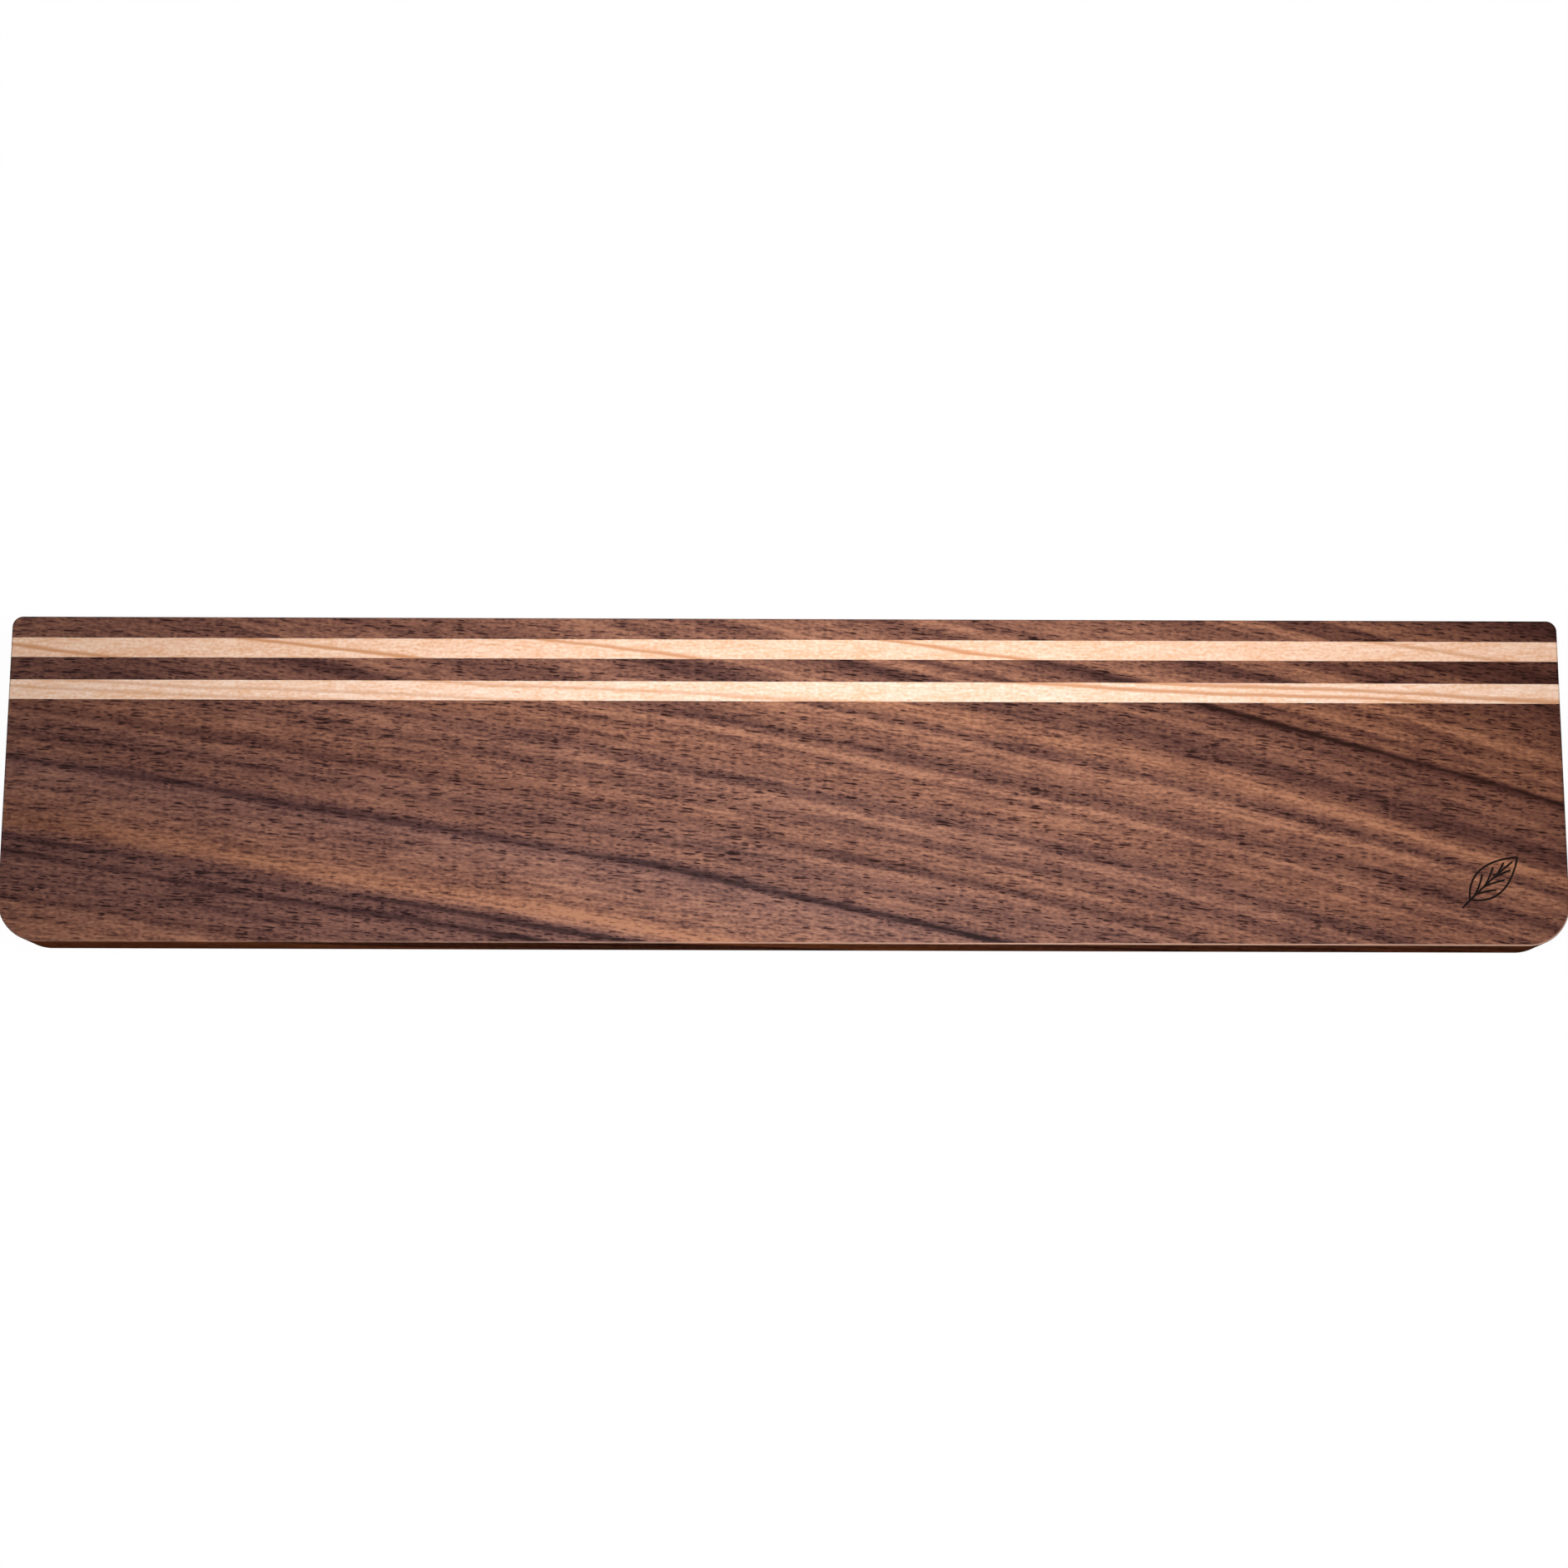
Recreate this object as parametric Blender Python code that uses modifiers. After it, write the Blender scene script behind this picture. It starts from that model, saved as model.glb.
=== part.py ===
"""Keyboard wrist rest: five edge-glued strips of walnut and maple on six bonded rubber feet.

The strips are one slab that was glued up, routed to its outline and eased along its rims. Each strip is
that slab between two glue lines. Round pockets milled in the underside seat the feet, and a disc of
double-sided tape bonds each foot to its pocket's floor.

Frame: +X to the user's right, +Y away from the user towards the keyboard, +Z up. The origin is at the
centre of the footprint, on the plane that the feet stand on.
"""

import math

import bmesh
import bpy

# Overall sizes, in metres
LENGTH = 0.440
WOOD_THICKNESS = 0.0165
FOOT_PROTRUSION = 0.0015

# Glued-up widths from the keyboard side to the user's side, each with its half of every glue line
REAR_STRIP_WIDTH = 0.0062
MAPLE_STRIPE_WIDTH = 0.0057
MIDDLE_STRIP_WIDTH = 0.0065
FRONT_BOARD_WIDTH = 0.0691
GLUE_GAP = 0.0003

# Routed outline and eased rims
FRONT_CORNER_RADIUS = 0.0120
REAR_CORNER_RADIUS = 0.0030
TOP_ROUND_RADIUS = 0.0006
BOTTOM_ROUND_RADIUS = 0.0006
FRONT_CORNER_SEGMENTS = 14
REAR_CORNER_SEGMENTS = 6
TOP_ROUND_SEGMENTS = 3
BOTTOM_ROUND_SEGMENTS = 3

# Rubber feet, their tape discs and their pockets
FOOT_DIAMETER = 0.0120
FOOT_THICKNESS = 0.0028
FOOT_RIM_RADIUS = 0.0005
FOOT_DISH_DIAMETER = 0.0060
FOOT_DISH_DEPTH = 0.0004
TAPE_SETBACK = 0.0005
TAPE_THICKNESS = 0.0005
BOND_GAP = 0.0003
POCKET_CLEARANCE = 0.0003
FOOT_INSET_FROM_END = 0.0220
FOOT_INSET_FROM_SIDE = 0.0150
ROUND_SIDES = 40
FOOT_RIM_SEGMENTS = 3

# Cutters run past the faces that they cut by this much
CUT_MARGIN = 0.005
ON_PLANE = 1e-6
SMOOTH_ANGLE = math.radians(40)

# What follows from the sizes above
DEPTH = REAR_STRIP_WIDTH + MIDDLE_STRIP_WIDTH + FRONT_BOARD_WIDTH + 2 * MAPLE_STRIPE_WIDTH
REAR_Y = DEPTH / 2
FRONT_Y = -DEPTH / 2
WOOD_BOTTOM_Z = FOOT_PROTRUSION
WOOD_TOP_Z = WOOD_BOTTOM_Z + WOOD_THICKNESS
TAPE_BOTTOM_Z = FOOT_THICKNESS + BOND_GAP
POCKET_FLOOR_Z = TAPE_BOTTOM_Z + TAPE_THICKNESS + BOND_GAP
POCKET_DIAMETER = FOOT_DIAMETER + 2 * POCKET_CLEARANCE
TAPE_DIAMETER = FOOT_DIAMETER - 2 * TAPE_SETBACK

# Each strip from the rear to the front: its name, width and timber
STRIPS = (
    ("walnut_rear_strip", REAR_STRIP_WIDTH, "walnut"),
    ("maple_rear_stripe", MAPLE_STRIPE_WIDTH, "maple"),
    ("walnut_middle_strip", MIDDLE_STRIP_WIDTH, "walnut"),
    ("maple_front_stripe", MAPLE_STRIPE_WIDTH, "maple"),
    ("walnut_front_board", FRONT_BOARD_WIDTH, "walnut"),
)

FOOT_PLACES = {
    f"{row}_{column}": (x, y)
    for row, y in (
        ("front", FRONT_Y + FOOT_INSET_FROM_SIDE),
        ("rear", REAR_Y - FOOT_INSET_FROM_SIDE),
    )
    for column, x in (
        ("left", -LENGTH / 2 + FOOT_INSET_FROM_END),
        ("middle", 0.0),
        ("right", LENGTH / 2 - FOOT_INSET_FROM_END),
    )
}

# Linear colour, roughness and metallic value of each finish
FINISHES = {
    "walnut": ((0.190, 0.088, 0.060), 0.48, 0.0),
    "maple": ((0.740, 0.500, 0.320), 0.46, 0.0),
    "black_rubber": ((0.018, 0.018, 0.019), 0.82, 0.0),
    "foam_tape": ((0.620, 0.610, 0.580), 0.70, 0.0),
}


def clear_scene():
    for found in list(bpy.data.objects):
        bpy.data.objects.remove(found, do_unlink=True)


def new_collection(name):
    made = bpy.data.collections.new(name)
    bpy.context.scene.collection.children.link(made)
    return made


def material(finish):
    """The finish's material, made the first time that it is asked for."""
    if finish in bpy.data.materials:
        return bpy.data.materials[finish]
    colour, roughness, metallic = FINISHES[finish]
    made = bpy.data.materials.new(finish)
    made.use_nodes = True
    shader = made.node_tree.nodes["Principled BSDF"]
    shader.inputs["Base Color"].default_value = (*colour, 1.0)
    shader.inputs["Roughness"].default_value = roughness
    shader.inputs["Metallic"].default_value = metallic
    made.diffuse_color = (*colour, 1.0)
    return made


def place(name, mesh, collection, location=(0, 0, 0)):
    made = bpy.data.objects.new(name, mesh)
    made.location = location
    collection.objects.link(made)
    return made


def as_cutter(obj):
    obj.hide_render = True
    obj.display_type = "WIRE"
    return obj


def bevel_edges(bm, chosen, radius, segments):
    edges = [edge for edge in bm.edges if chosen(edge)]
    bmesh.ops.bevel(
        bm,
        geom=edges,
        offset=radius,
        offset_type="OFFSET",
        segments=segments,
        profile=0.5,
        affect="EDGES",
    )


def lies_at(edge, axis, value):
    """Whether both ends of the edge have this coordinate."""
    return all(abs(vert.co[axis] - value) < ON_PLANE for vert in edge.verts)


def is_upright(edge):
    low, high = edge.verts
    return abs(low.co.z - high.co.z) > WOOD_THICKNESS / 2


def box_mesh(name, size, centre):
    bm = bmesh.new()
    bmesh.ops.create_cube(bm, size=1.0)
    bmesh.ops.scale(bm, vec=size, verts=bm.verts)
    bmesh.ops.translate(bm, vec=centre, verts=bm.verts)
    mesh = bpy.data.meshes.new(name)
    bm.to_mesh(mesh)
    bm.free()
    return mesh


def slab_mesh():
    """The glued-up slab, routed to its rounded outline and eased along its top and bottom rims."""
    centre_z = (WOOD_BOTTOM_Z + WOOD_TOP_Z) / 2
    mesh = box_mesh("slab", (LENGTH, DEPTH, WOOD_THICKNESS), (0, 0, centre_z))
    bm = bmesh.new()
    bm.from_mesh(mesh)
    bevel_edges(
        bm,
        lambda edge: is_upright(edge) and lies_at(edge, 1, FRONT_Y),
        FRONT_CORNER_RADIUS,
        FRONT_CORNER_SEGMENTS,
    )
    bevel_edges(
        bm,
        lambda edge: is_upright(edge) and lies_at(edge, 1, REAR_Y),
        REAR_CORNER_RADIUS,
        REAR_CORNER_SEGMENTS,
    )
    bevel_edges(
        bm,
        lambda edge: lies_at(edge, 2, WOOD_TOP_Z),
        TOP_ROUND_RADIUS,
        TOP_ROUND_SEGMENTS,
    )
    bevel_edges(
        bm,
        lambda edge: lies_at(edge, 2, WOOD_BOTTOM_Z),
        BOTTOM_ROUND_RADIUS,
        BOTTOM_ROUND_SEGMENTS,
    )
    bm.to_mesh(mesh)
    bm.free()
    mesh.shade_smooth()
    mesh.set_sharp_from_angle(angle=SMOOTH_ANGLE)
    return mesh


def cylinder_mesh(name, diameter, height):
    """A disc of this size that stands on its own origin."""
    bm = bmesh.new()
    bmesh.ops.create_cone(
        bm,
        cap_ends=True,
        segments=ROUND_SIDES,
        radius1=diameter / 2,
        radius2=diameter / 2,
        depth=height,
    )
    bmesh.ops.translate(bm, vec=(0, 0, height / 2), verts=bm.verts)
    mesh = bpy.data.meshes.new(name)
    bm.to_mesh(mesh)
    bm.free()
    mesh.shade_smooth()
    mesh.set_sharp_from_angle(angle=SMOOTH_ANGLE)
    return mesh


def pocket_cutters(collection):
    """One cylinder for each foot, from below the wood up to the pocket's floor."""
    bottom = WOOD_BOTTOM_Z - CUT_MARGIN
    mesh = cylinder_mesh("foot_pocket", POCKET_DIAMETER, POCKET_FLOOR_Z - bottom)
    for place_name, (x, y) in FOOT_PLACES.items():
        as_cutter(place(f"pocket_{place_name}", mesh, collection, (x, y, bottom)))


def add_boolean(obj, name, operation, **operand):
    modifier = obj.modifiers.new(name, "BOOLEAN")
    modifier.operation = operation
    modifier.solver = "EXACT"
    for key, value in operand.items():
        setattr(modifier, key, value)


def saw_allowance(is_outer_side):
    """How far a saw box reaches past its strip's side: clear of the slab, or half a glue line short."""
    return CUT_MARGIN if is_outer_side else -GLUE_GAP / 2


def make_strips(parts, cutters, pockets, root):
    """Cuts the slab into its strips along the glue lines, then mills the pockets in each."""
    slab = slab_mesh()
    rear = REAR_Y
    for name, width, timber in STRIPS:
        front = rear - width
        high = rear + saw_allowance(name == STRIPS[0][0])
        low = front - saw_allowance(name == STRIPS[-1][0])
        saw_size = (LENGTH + 2 * CUT_MARGIN, high - low, WOOD_THICKNESS + 2 * CUT_MARGIN)
        saw_centre = (0, (high + low) / 2, (WOOD_BOTTOM_Z + WOOD_TOP_Z) / 2)
        saw = as_cutter(
            place(f"saw_{name}", box_mesh(f"saw_{name}", saw_size, saw_centre), cutters)
        )
        strip = place(name, slab.copy(), parts)
        strip.parent = root
        strip.data.materials.append(material(timber))
        add_boolean(strip, "saw_cuts", "INTERSECT", object=saw)
        add_boolean(
            strip, "foot_pockets", "DIFFERENCE", operand_type="COLLECTION", collection=pockets
        )
        rear = front


def foot_profile():
    """Half the section of a moulded foot, from the middle of its top round to the middle of its dish."""
    outer = FOOT_DIAMETER / 2
    dish = FOOT_DISH_DIAMETER / 2
    points = [(0.0, FOOT_THICKNESS), (outer, FOOT_THICKNESS)]
    for step in range(FOOT_RIM_SEGMENTS + 1):
        angle = math.pi / 2 * step / FOOT_RIM_SEGMENTS
        points.append(
            (
                outer - FOOT_RIM_RADIUS * (1 - math.cos(angle)),
                FOOT_RIM_RADIUS * (1 - math.sin(angle)),
            )
        )
    points.append((dish, 0.0))
    points.append((dish - FOOT_DISH_DEPTH, FOOT_DISH_DEPTH))
    points.append((0.0, FOOT_DISH_DEPTH))
    return points


def foot_mesh():
    mesh = bpy.data.meshes.new("foot_profile")
    points = foot_profile()
    edges = [(i, i + 1) for i in range(len(points) - 1)]
    mesh.from_pydata([(radius, 0, height) for radius, height in points], edges, [])
    mesh.materials.append(material("black_rubber"))
    return mesh


def make_feet(parts, root):
    """Six turned feet, each with the tape disc that holds it in its pocket."""
    profile = foot_mesh()
    tape = cylinder_mesh("tape_disc", TAPE_DIAMETER, TAPE_THICKNESS)
    tape.materials.append(material("foam_tape"))
    for place_name, (x, y) in FOOT_PLACES.items():
        foot = place(f"rubber_foot_{place_name}", profile, parts, (x, y, 0))
        turn = foot.modifiers.new("turned", "SCREW")
        turn.steps = ROUND_SIDES
        turn.render_steps = ROUND_SIDES
        turn.use_merge_vertices = True
        turn.merge_threshold = ON_PLANE
        foot.parent = root
        disc = place(f"foot_tape_{place_name}", tape, parts, (x, y, TAPE_BOTTOM_Z))
        disc.parent = root


def main():
    clear_scene()
    parts = new_collection("wrist_rest")
    cutters = new_collection("saw_boxes")
    pockets = new_collection("foot_pockets")
    root = place("wrist_rest_origin", None, parts)
    pocket_cutters(pockets)
    make_strips(parts, cutters, pockets, root)
    make_feet(parts, root)


main()
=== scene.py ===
"""Keyboard wrist rest in walnut and maple: its looks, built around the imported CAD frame."""

import math

import bmesh
import bpy
from mathutils import Matrix, Vector


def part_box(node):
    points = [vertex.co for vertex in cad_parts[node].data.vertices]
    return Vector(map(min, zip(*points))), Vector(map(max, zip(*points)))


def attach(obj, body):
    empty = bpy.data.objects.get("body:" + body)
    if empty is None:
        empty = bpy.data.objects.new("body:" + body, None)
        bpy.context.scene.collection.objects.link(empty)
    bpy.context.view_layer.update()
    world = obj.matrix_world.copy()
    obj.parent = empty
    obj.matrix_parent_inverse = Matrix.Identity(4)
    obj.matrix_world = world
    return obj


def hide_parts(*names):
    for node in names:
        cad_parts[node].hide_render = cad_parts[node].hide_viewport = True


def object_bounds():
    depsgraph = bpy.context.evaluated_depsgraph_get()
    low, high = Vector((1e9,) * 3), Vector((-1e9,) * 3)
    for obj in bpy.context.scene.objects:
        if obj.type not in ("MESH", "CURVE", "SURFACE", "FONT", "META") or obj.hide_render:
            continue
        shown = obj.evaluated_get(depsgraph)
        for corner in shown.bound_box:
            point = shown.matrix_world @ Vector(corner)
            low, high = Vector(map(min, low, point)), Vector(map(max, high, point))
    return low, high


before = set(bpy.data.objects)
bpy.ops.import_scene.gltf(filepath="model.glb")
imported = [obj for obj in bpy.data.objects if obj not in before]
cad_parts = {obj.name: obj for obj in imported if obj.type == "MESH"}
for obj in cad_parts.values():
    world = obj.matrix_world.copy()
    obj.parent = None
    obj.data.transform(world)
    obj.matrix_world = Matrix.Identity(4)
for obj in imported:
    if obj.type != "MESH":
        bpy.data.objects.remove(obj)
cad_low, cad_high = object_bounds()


# ---------------------------------------------------------------------------------------------------------
# The camera: a short telephoto lens on a copy stand, nearly straight above the rest and a little towards
# the user's side, so that the front edge just shows below the top face.

CAMERA_DISTANCE = 0.7736
CAMERA_TILT = math.radians(10.18)
CAMERA_ROLL = math.radians(0.184)
CAMERA_LENS_MM = 63.0
SENSOR_WIDTH_MM = 36.0

# The camera aims a little in front of the middle of the top face
AIM_SHIFT = Vector((0.0, -0.0013, 0.0))

top_face_centre = Vector(((cad_low.x + cad_high.x) / 2, (cad_low.y + cad_high.y) / 2, cad_high.z))
aim_point = top_face_centre + AIM_SHIFT
camera_turn = Matrix.Rotation(CAMERA_TILT, 4, "X") @ Matrix.Rotation(CAMERA_ROLL, 4, "Z")
bpy.ops.object.camera_add()
studio_camera = bpy.context.object
studio_camera.name = "studio_camera"
studio_camera.data.lens = CAMERA_LENS_MM
studio_camera.data.sensor_width = SENSOR_WIDTH_MM
studio_camera.matrix_world = (
    Matrix.Translation(aim_point) @ camera_turn @ Matrix.Translation((0, 0, CAMERA_DISTANCE))
)
bpy.context.scene.camera = studio_camera


# ---------------------------------------------------------------------------------------------------------
# The blank: five strips of solid timber edge-glued into one slab, then routed to its outline, with large
# round corners on the user's side and small ones on the keyboard's side, and eased along both rims.

FRONT_CORNER_RADIUS = 0.0120
REAR_CORNER_RADIUS = 0.0030
RIM_ROUND_RADIUS = 0.0006
FRONT_CORNER_SEGMENTS = 40
REAR_CORNER_SEGMENTS = 16
RIM_ROUND_SEGMENTS = 6
ROUND_PROFILE = 0.5
GLUE_LINE = 0.00002
# A point this near a plane lies on it, and points this near each other are the same
ON_PLANE = 0.00001
SAME_POINT = 0.000001
# Faces that meet at less than this are shaded as one round
SMOOTH_ANGLE = math.radians(30)

STRIP_NAMES = (
    "walnut_rear_strip",
    "maple_rear_stripe",
    "walnut_middle_strip",
    "maple_front_stripe",
    "walnut_front_board",
)
wood_low = Vector((cad_low.x, cad_low.y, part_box("walnut_front_board")[0].z))
wood_high = cad_high


def deselect_all():
    for found in list(bpy.context.selected_objects):
        found.select_set(False)


def hold(piece):
    """Makes the piece the only one selected, and the active one."""
    deselect_all()
    piece.select_set(True)
    bpy.context.view_layer.objects.active = piece


def added(name):
    """Names the primitive that was just added, and moves its place and size into its mesh."""
    piece = bpy.context.object
    piece.name = name
    piece.data.name = name
    bpy.ops.object.transform_apply(location=True, rotation=True, scale=True)
    return piece


def select_edges(piece, chosen):
    """In edit mode, selects the edges whose two ends pass the test."""
    bpy.ops.mesh.select_all(action="DESELECT")
    mesh = bmesh.from_edit_mesh(piece.data)
    for edge in mesh.edges:
        edge.select_set(chosen(*edge.verts))
    bmesh.update_edit_mesh(piece.data)


def is_upright_at(y):
    """A test for the blank's upright corner edges at this side."""
    return lambda one, other: (
        abs(one.co.z - other.co.z) > ON_PLANE
        and abs(one.co.y - y) < ON_PLANE
        and abs(other.co.y - y) < ON_PLANE
    )


def is_rim_at(z):
    """A test for the blank's rim edges at this height."""
    return lambda one, other: abs(one.co.z - z) < ON_PLANE and abs(other.co.z - z) < ON_PLANE


deselect_all()
bpy.ops.mesh.primitive_cube_add(
    size=1.0,
    location=(wood_low + wood_high) / 2,
    scale=wood_high - wood_low,
)
blank = added("glued_blank")
bpy.ops.object.mode_set(mode="EDIT")
bpy.ops.mesh.select_mode(type="EDGE")
for chosen_edges, radius, segments in (
    (is_upright_at(wood_low.y), FRONT_CORNER_RADIUS, FRONT_CORNER_SEGMENTS),
    (is_upright_at(wood_high.y), REAR_CORNER_RADIUS, REAR_CORNER_SEGMENTS),
    (is_rim_at(wood_high.z), RIM_ROUND_RADIUS, RIM_ROUND_SEGMENTS),
    (is_rim_at(wood_low.z), RIM_ROUND_RADIUS, RIM_ROUND_SEGMENTS),
):
    select_edges(blank, chosen_edges)
    bpy.ops.mesh.bevel(offset=radius, segments=segments, profile=ROUND_PROFILE, affect="EDGES")
bpy.ops.object.mode_set(mode="OBJECT")


# ---------------------------------------------------------------------------------------------------------
# The foot pockets: six shallow flat-bottomed holes that a cutter of 12.6 mm mills in the underside, one for
# each rubber foot. A pocket falls in the front board, or across the four narrow strips at the rear.

POCKET_CLEARANCE = 0.0003
POCKET_SIDES = 96
CUT_MARGIN = 0.002

FOOT_NAMES = tuple(
    f"{row}_{column}" for row in ("front", "rear") for column in ("left", "middle", "right")
)
pocket_cutters = []
for foot_name in FOOT_NAMES:
    foot_low, foot_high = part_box(f"rubber_foot_{foot_name}")
    tape_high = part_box(f"foot_tape_{foot_name}")[1]
    pocket_floor = tape_high.z + POCKET_CLEARANCE
    cutter_bottom = foot_low.z - CUT_MARGIN
    bpy.ops.mesh.primitive_cylinder_add(
        vertices=POCKET_SIDES,
        radius=(foot_high.x - foot_low.x) / 2 + POCKET_CLEARANCE,
        depth=pocket_floor - cutter_bottom,
        location=(
            (foot_low.x + foot_high.x) / 2,
            (foot_low.y + foot_high.y) / 2,
            (pocket_floor + cutter_bottom) / 2,
        ),
    )
    pocket_cutters.append(added(f"pocket_cutter_{foot_name}"))


def apply_modifier(piece, name, kind, settings):
    """Adds one modifier with its settings, and applies it."""
    hold(piece)
    modifier = piece.modifiers.new(name, kind)
    for key, value in settings.items():
        setattr(modifier, key, value)
    bpy.ops.object.modifier_apply(modifier=modifier.name)


def cut_away(piece, cutter):
    apply_modifier(piece, "cut", "BOOLEAN", {"object": cutter})


def saw_off(piece, y, keep_rear):
    """Cuts the piece across at y, closes the cut, and keeps the rear or the front side."""
    hold(piece)
    bpy.ops.object.mode_set(mode="EDIT")
    bpy.ops.mesh.select_all(action="SELECT")
    bpy.ops.mesh.bisect(
        plane_co=(0, y, 0),
        plane_no=(0, 1, 0),
        use_fill=True,
        clear_inner=keep_rear,
        clear_outer=not keep_rear,
    )
    bpy.ops.mesh.select_all(action="SELECT")
    bpy.ops.mesh.normals_make_consistent(inside=False)
    bpy.ops.object.mode_set(mode="OBJECT")


def strip_from_blank(name, timber):
    """A copy of the blank in this timber, sawn to its own glue lines, with its pockets milled."""
    strip = blank.copy()
    strip.data = blank.data.copy()
    strip.name = f"{name}_finished"
    strip.data.name = strip.name
    strip.data.materials.append(timber)
    bpy.context.scene.collection.objects.link(strip)
    low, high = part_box(name)
    index = STRIP_NAMES.index(name)
    if index > 0:
        joint = (high.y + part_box(STRIP_NAMES[index - 1])[0].y) / 2
        saw_off(strip, joint - GLUE_LINE / 2, keep_rear=False)
    if index < len(STRIP_NAMES) - 1:
        joint = (low.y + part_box(STRIP_NAMES[index + 1])[1].y) / 2
        saw_off(strip, joint + GLUE_LINE / 2, keep_rear=True)
    for cutter in pocket_cutters:
        corners_y = [vertex.co.y for vertex in cutter.data.vertices]
        if min(corners_y) < high.y and max(corners_y) > low.y:
            cut_away(strip, cutter)
    return strip


def finish_shading(piece):
    """Smooth rounds beside flat faces: weighted normals keep the wide faces flat."""
    hold(piece)
    bpy.ops.object.shade_smooth_by_angle(angle=SMOOTH_ANGLE)
    apply_modifier(
        piece,
        "flat_faces_first",
        "WEIGHTED_NORMAL",
        {"keep_sharp": True, "weight": 100},
    )


# ---------------------------------------------------------------------------------------------------------
# The front board: a wide board of plain-sawn black walnut, planed, sanded and rubbed with oil. Its growth
# lines cross it at a slant and its fibres run nearly along it. It is glued to the front maple stripe.


def linear(hex_colour, alpha=1.0):
    """An sRGB hex colour as the linear RGBA that the shader's sockets hold."""
    channels = [int(hex_colour[i : i + 2], 16) / 255 for i in (0, 2, 4)]
    straight = [c / 12.92 if c <= 0.04045 else ((c + 0.055) / 1.055) ** 2.4 for c in channels]
    return (*straight, alpha)


def add_node(tree, kind, settings, links):
    """Adds one node: settings are its properties, and links its inputs, from nodes, sockets or values."""
    made = tree.nodes.new(kind)
    for key, value in settings.items():
        setattr(made, key, value)
    for key, value in links.items():
        if isinstance(value, bpy.types.Node):
            value = value.outputs[0]
        if isinstance(value, bpy.types.NodeSocket):
            tree.links.new(value, made.inputs[key])
        else:
            made.inputs[key].default_value = value
    return made


def set_stops(ramp_node, stops, interpolation):
    """Puts (position, colour) stops on a colour ramp, in the order given."""
    ramp = ramp_node.color_ramp
    ramp.interpolation = interpolation
    while len(ramp.elements) > 1:
        ramp.elements.remove(ramp.elements[-1])
    ramp.elements[0].position, ramp.elements[0].color = stops[0]
    for position, colour in stops[1:]:
        ramp.elements.new(position).color = colour


# A line of the figure is where Y + slant X + bend X^2 + twist X^3 stays the same, in mm. The growth lines of
# the front board are steeper than its fibres
FRONT_BOARD_LINES = (0.2071, 0.00019, 0.00000025)
FIBRES = (0.09, 0.00008, 0.0)
# The growth rings go down into the timber at this slope, which shows on the ends
RING_DIP = 0.8
MM_PER_METRE = 1000

# Across the growth lines: where each streak lies, in mm, and its tone, which is 0.5 for the timber's mean
FRONT_BOARD_STREAKS = (
    (-80, 0.66), (-75, 0.66), (-72, 0.33), (-70, 0.53), (-67, 0.32), (-64, 0.49), (-62, 0.41),
    (-60, 0.22), (-58.5, 0.44), (-57.5, 0.40), (-56, 0.20), (-53, 0.69), (-51, 0.88), (-49, 0.64),
    (-46, 0.57), (-43, 0.62), (-39, 0.53), (-37, 0.57), (-35, 0.52), (-33, 0.20), (-31, 0.44),
    (-29, 0.55), (-25, 0.38), (-23, 0.45), (-20.5, 0.57), (-18, 0.33), (-14, 0.60), (-12, 0.56),
    (-9, 0.39), (-5.5, 0.62), (-2, 0.38), (0, 0.50),
    (3, 0.52), (5, 0.62), (7.5, 0.45), (10, 0.75), (12, 0.45), (14, 0.35), (17, 0.54), (19, 0.57),
    (21.5, 0.73), (24, 0.40), (26, 0.55), (28.5, 0.75), (31, 0.52), (33, 0.37), (36, 0.33), (39, 0.50),
    (40, 0.44), (42, 0.55), (45, 0.39), (47, 0.44), (49, 0.32), (50, 0.20), (52, 0.53), (54, 0.36),
    (56, 0.64), (59, 0.40), (62.5, 0.75), (65.5, 0.46), (68, 0.33), (80, 0.35),
)
# Across the growth lines: a place in mm, and how warm the brown is there, from 0, purple-grey, to 1, orange
FRONT_BOARD_WARMTH = (
    (-80, 0.55), (-74, 0.40), (-68, 0.15), (-56, 0.10), (-51, 0.80), (-46, 0.50), (-40, 0.25),
    (-34, 0.05), (-29, 0.45), (-24, 0.35), (-15, 0.60), (-9, 0.50), (-2, 0.45), (3, 0.70), (13, 0.60),
    (20, 0.72), (24, 0.60), (28, 0.85), (35, 0.68), (46, 0.80), (54, 0.95), (60, 1.0),
)
FIGURE_REACH = 80.0
MEAN_TONE = 0.5
# Along the timber: a place in mm, and the factor there. It is painted shade that darkens the timber towards
# both ends, where the light falls off
END_SHADE_FACTORS = ((-220, 0.82), (-90, 0.90), (0, 1.0), (90, 0.93), (220, 0.77))
END_REACH = 220.0

# Each tone's brown, in purple-grey heartwood and then in orange-brown: open pores, dark streaks, the mean,
# pale streaks and the palest fibres
COOL_BROWNS = ((0.04, "2A1A1A"), (0.2, "503533"), (0.5, "7A544A"), (0.7, "8C6354"), (1.0, "A0735F"))
WARM_BROWNS = ((0.04, "2A150F"), (0.2, "56332A"), (0.5, "80533E"), (0.7, "936148"), (1.0, "A97355"))

# The layers of the figure: the lines that each follows, its length and width in mm, its detail and roughness.
# Real fibres are 0.1 mm wide or less, and they are drawn 0.75 mm wide so that they show
WALNUT_LAYERS = (
    ("wander", "rings", 110.0, 22.0, 1.0, 0.5),
    ("feather", "fibres", 10.0, 0.8, 2.0, 0.6),
    ("strength", "rings", 130.0, 9.0, 1.0, 0.5),
    ("clouds", "fibres", 24.0, 11.0, 2.0, 0.5),
    ("streaks", "rings", 45.0, 1.6, 3.0, 0.6),
    ("fibre", "fibres", 7.0, 0.75, 2.0, 0.6),
    ("speckle", "fibres", 1.5, 0.8, 1.0, 0.5),
)
# How far, in mm, the wander and the feather of the fibres move a growth line
LINE_SHIFTS = (("wander", 5.0), ("feather", 1.9))
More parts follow.
